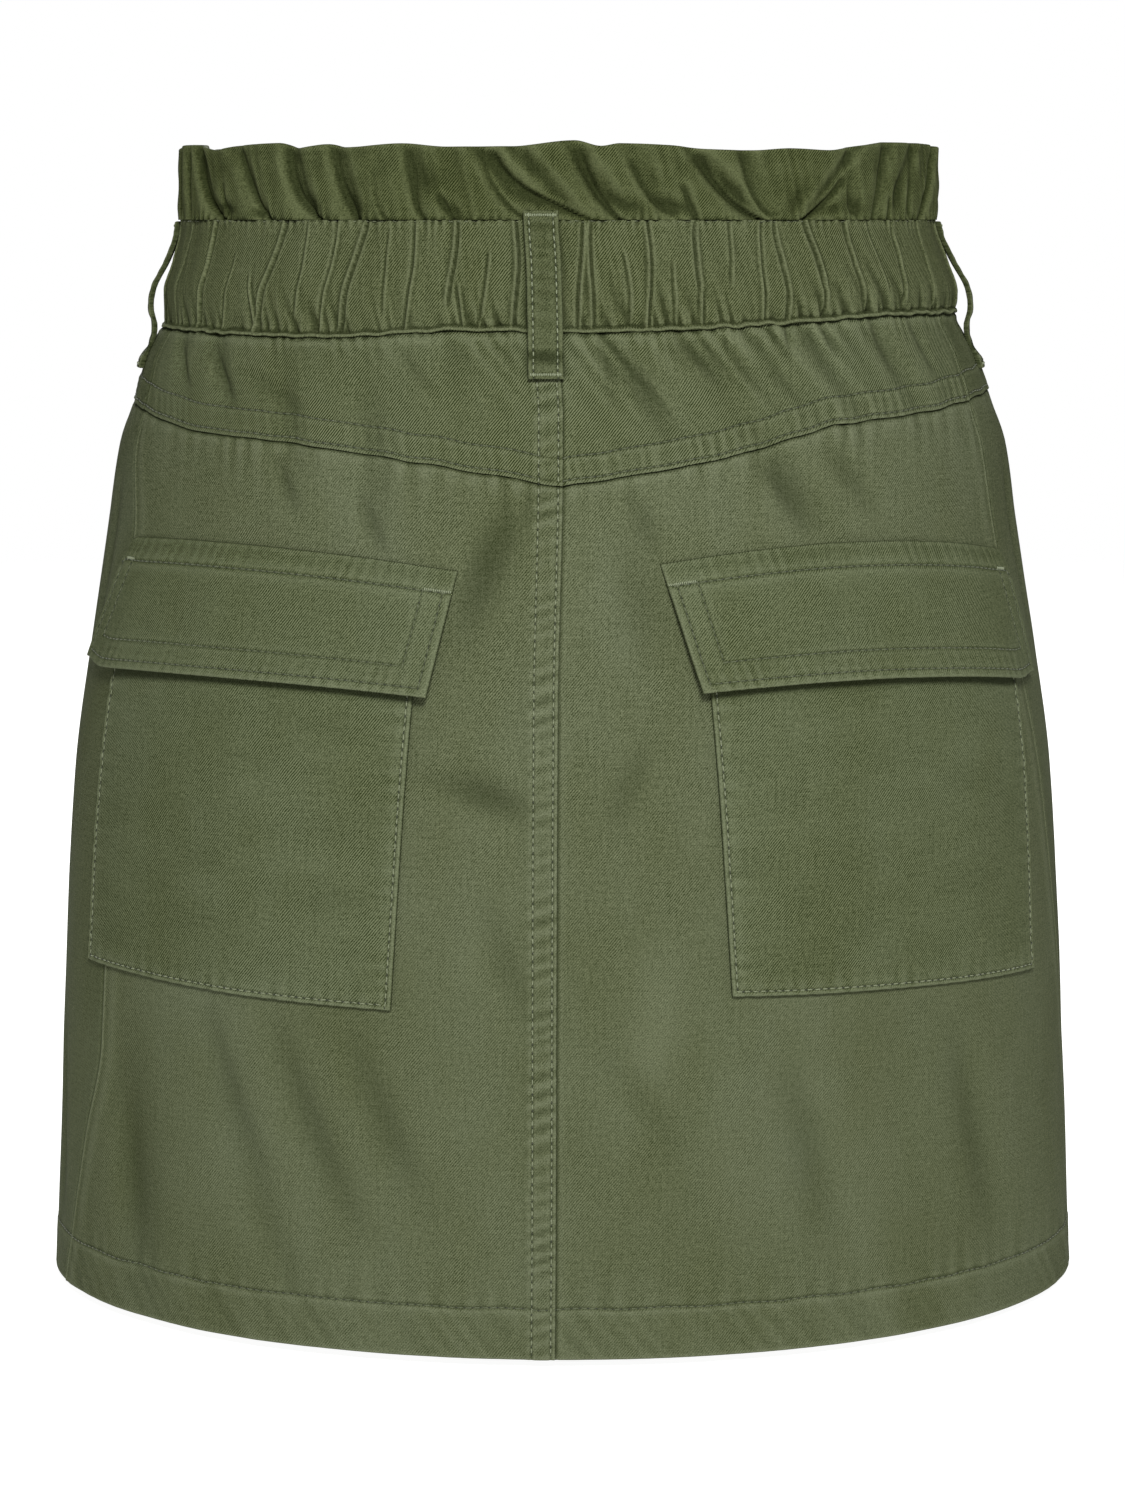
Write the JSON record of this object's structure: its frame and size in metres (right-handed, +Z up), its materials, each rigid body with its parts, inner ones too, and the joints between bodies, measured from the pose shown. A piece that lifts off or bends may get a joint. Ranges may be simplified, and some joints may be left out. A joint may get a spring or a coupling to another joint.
{
  "type": "cargo utility skirt",
  "caption": "Short pull-on cargo skirt: gathered elastic waist with a ruffle above, shaped yoke, flapped patch pockets on the back, belt loops and a turned-up hem, in worn form.",
  "frame": {"origin": "inside the waist, on the body's axis, at half the height of the elastic waistband", "axes": "+Z up along the length of the skirt; the back with its cargo pockets faces -Y and the front +Y; +X is the wearer's right"},
  "size_m": [0.3875, 0.2526, 0.42],
  "materials": {
    "twill": "fine cotton twill, washed, matt with a soft sheen",
    "pocket_twill": "the same twill, pressed and edge-stitched",
    "loop_twill": "the same twill, folded into a narrow strap with two rows of stitches"
  },
  "bodies": {
    "root": {"ruffle": "twill", "waistband": "twill", "back_yoke_left": "twill", "back_yoke_right": "twill", "back_panel_left": "twill", "back_panel_right": "twill", "front_yoke": "twill", "front_panel": "twill", "pocket_left": "pocket_twill", "pocket_right": "pocket_twill", "flap_left": "pocket_twill", "flap_right": "pocket_twill", "belt_loop_centre": "loop_twill", "belt_loop_left": "loop_twill", "belt_loop_right": "loop_twill"}
  },
  "joints": []
}
